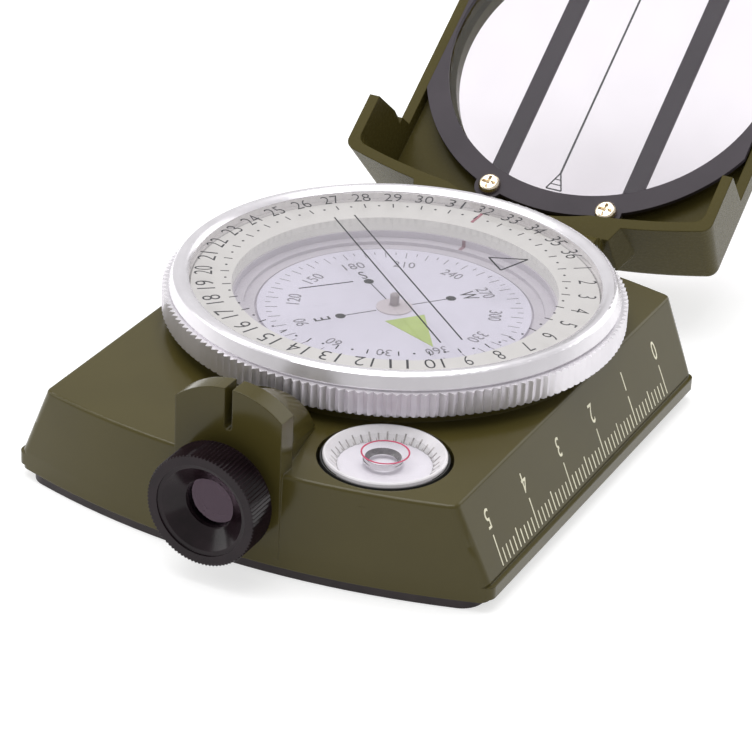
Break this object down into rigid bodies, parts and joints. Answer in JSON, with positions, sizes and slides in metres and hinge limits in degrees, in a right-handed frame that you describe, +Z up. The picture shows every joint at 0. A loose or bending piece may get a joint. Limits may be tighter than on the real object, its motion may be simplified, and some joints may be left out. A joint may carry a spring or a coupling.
{
  "type": "sighting compass",
  "caption": "Lensatic sighting compass: painted metal body with a turning bezel, floating card, bubble level, focusing eyepiece and a hinged lid with a sighting window.",
  "frame": {"origin": "underside of the base plate, on the axis that the bezel and the card turn about", "axes": "+Z up; +Y is the sighting direction, from the eyepiece at the front to the hinge at the back; +X is the side with the ruler and the bubble level"},
  "size_m": [0.064, 0.1505, 0.0563],
  "materials": {
    "olive_paint": "semi-gloss olive-drab enamel over a die casting",
    "bezel_metal": "bright machined, polished rim",
    "base_black": "fine-textured black",
    "black_plastic": "moulded black",
    "screw_steel": "plated, slightly warm",
    "pin_steel": "ground",
    "spring_steel": "spring temper",
    "cup_white": "moulded white",
    "dial_cream": "luminous cream",
    "mark_red": "printed",
    "card_white": "printed white card",
    "marker_green": "luminous green",
    "magnet_dark": "sintered",
    "pivot_brass": "turned",
    "hub_pale": "moulded, pale pinkish",
    "clear_glass": "polished",
    "clear_acrylic": "clear moulded",
    "level_fluid": "clear liquid",
    "gasket_rubber": "matt",
    "gasket_pale": "pale silicone",
    "ring_dark": "dark grey-purple satin",
    "lens_glass": "coated",
    "mark_dark": "printed"
  },
  "bodies": {
    "base": {"base_housing": "olive_paint", "base_plate": "base_black", "base_plate_screws": "screw_steel", "dial_cup": "cup_white", "fixed_ring": "dial_cream", "index_mark": "mark_red", "capsule_lens": "clear_acrylic", "pivot_post": "pivot_brass", "level_vial": "clear_acrylic", "level_dish": "cup_white", "level_fluid": "level_fluid", "level_target": "mark_red", "level_seat": "gasket_rubber", "eyepiece_sleeve": "black_plastic", "sight_prism": "clear_glass", "prism_clip": "spring_steel", "hinge_pin": "pin_steel"},
    "bezel": {"bezel_ring": "bezel_metal", "crystal": "clear_glass", "crystal_gasket": "gasket_pale", "crystal_retainer": "bezel_metal", "bezel_snap_ring": "spring_steel"},
    "card": {"compass_card": "card_white", "card_hub": "hub_pale", "card_magnets": "magnet_dark", "north_marker": "marker_green"},
    "lid": {"lid_shell": "olive_paint", "lid_window": "clear_glass", "window_ring": "ring_dark", "window_ring_screws": "screw_steel", "sight_line": "mark_dark", "window_bars": "ring_dark"},
    "focus_cell": {"lens_cell": "black_plastic", "lens_retainer": "black_plastic", "eye_lens": "lens_glass"},
    "focus_ring": {"eyepiece_ring": "black_plastic"}
  },
  "joints": [
    {"name": "bezel_turn", "type": "hinge", "parent": "base", "child": "bezel", "pos_m": [0, 0, 0.0162], "axis": [0, 0, 1], "continuous": true},
    {"name": "card_swing", "type": "hinge", "parent": "base", "child": "card", "pos_m": [0, 0, 0.0147], "axis": [0, 0, 1], "continuous": true},
    {"name": "lid_hinge", "type": "hinge", "parent": "base", "child": "lid", "pos_m": [0, 0.0329, 0.0132], "axis": [1, 0, 0], "range_deg": [0, 144.8]},
    {"name": "focus_slide", "type": "slide", "parent": "base", "child": "focus_cell", "axis": [0, 1, 0], "range_m": [-0.00033333, 0.00033333]},
    {"name": "focus_turn", "type": "hinge", "parent": "focus_cell", "child": "focus_ring", "pos_m": [0, -0.047, 0.0097], "axis": [0, 1, 0], "range_deg": [-120, 120]}
  ],
  "couplings": [
    {"joint": "focus_turn", "follows": "focus_slide", "rad_per_m": 6283.2}
  ]
}
